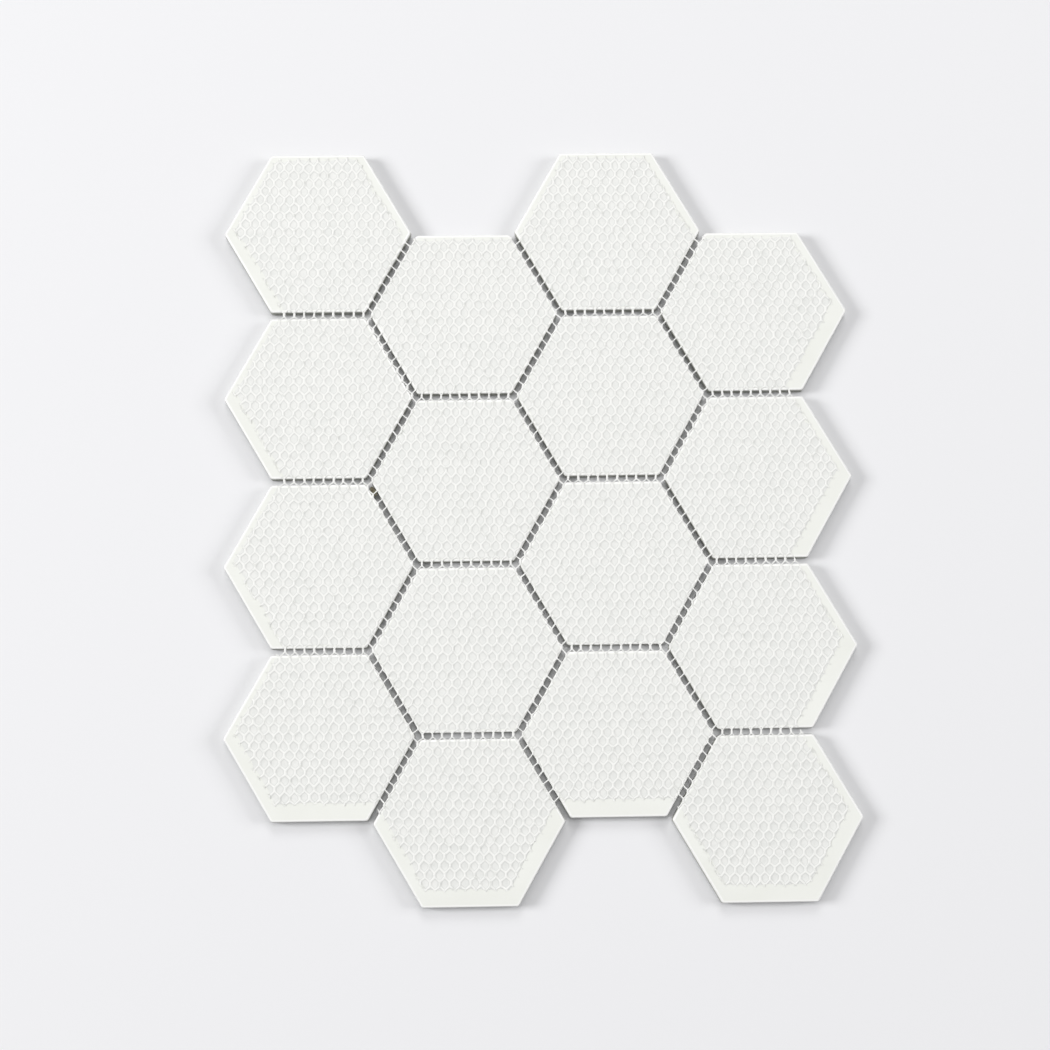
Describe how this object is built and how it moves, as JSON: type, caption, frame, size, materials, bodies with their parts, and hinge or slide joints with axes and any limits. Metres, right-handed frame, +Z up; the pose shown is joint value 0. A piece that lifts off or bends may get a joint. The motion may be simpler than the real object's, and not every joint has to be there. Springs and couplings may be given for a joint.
{
  "type": "mesh-mounted sheet of hexagon floor tiles",
  "caption": "Interlocking sheet of large white hexagon porcelain floor tiles held at even grout joints by a net glued to their backs, lying face down.",
  "frame": {"origin": "centre of the sheet's footprint, in the plane of the glazed faces that it lies on", "axes": "+Z up out of the net side; +Y along the columns of tiles, the sheet's longest side; +X across the columns"},
  "size_m": [0.2796, 0.3368, 0.0065],
  "materials": {
    "porcelain": "white porcelain, unglazed back and smooth white face",
    "net": "white polyester net set in clear-drying glue"
  },
  "bodies": {
    "root": {"tile_col1_row1": "porcelain", "tile_col1_row2": "porcelain", "tile_col1_row3": "porcelain", "tile_col1_row4": "porcelain", "tile_col2_row1": "porcelain", "tile_col2_row2": "porcelain", "tile_col2_row3": "porcelain", "tile_col2_row4": "porcelain", "tile_col3_row1": "porcelain", "tile_col3_row2": "porcelain", "tile_col3_row3": "porcelain", "tile_col3_row4": "porcelain", "tile_col4_row1": "porcelain", "tile_col4_row2": "porcelain", "tile_col4_row3": "porcelain", "tile_col4_row4": "porcelain", "net_backing": "net"}
  },
  "joints": []
}
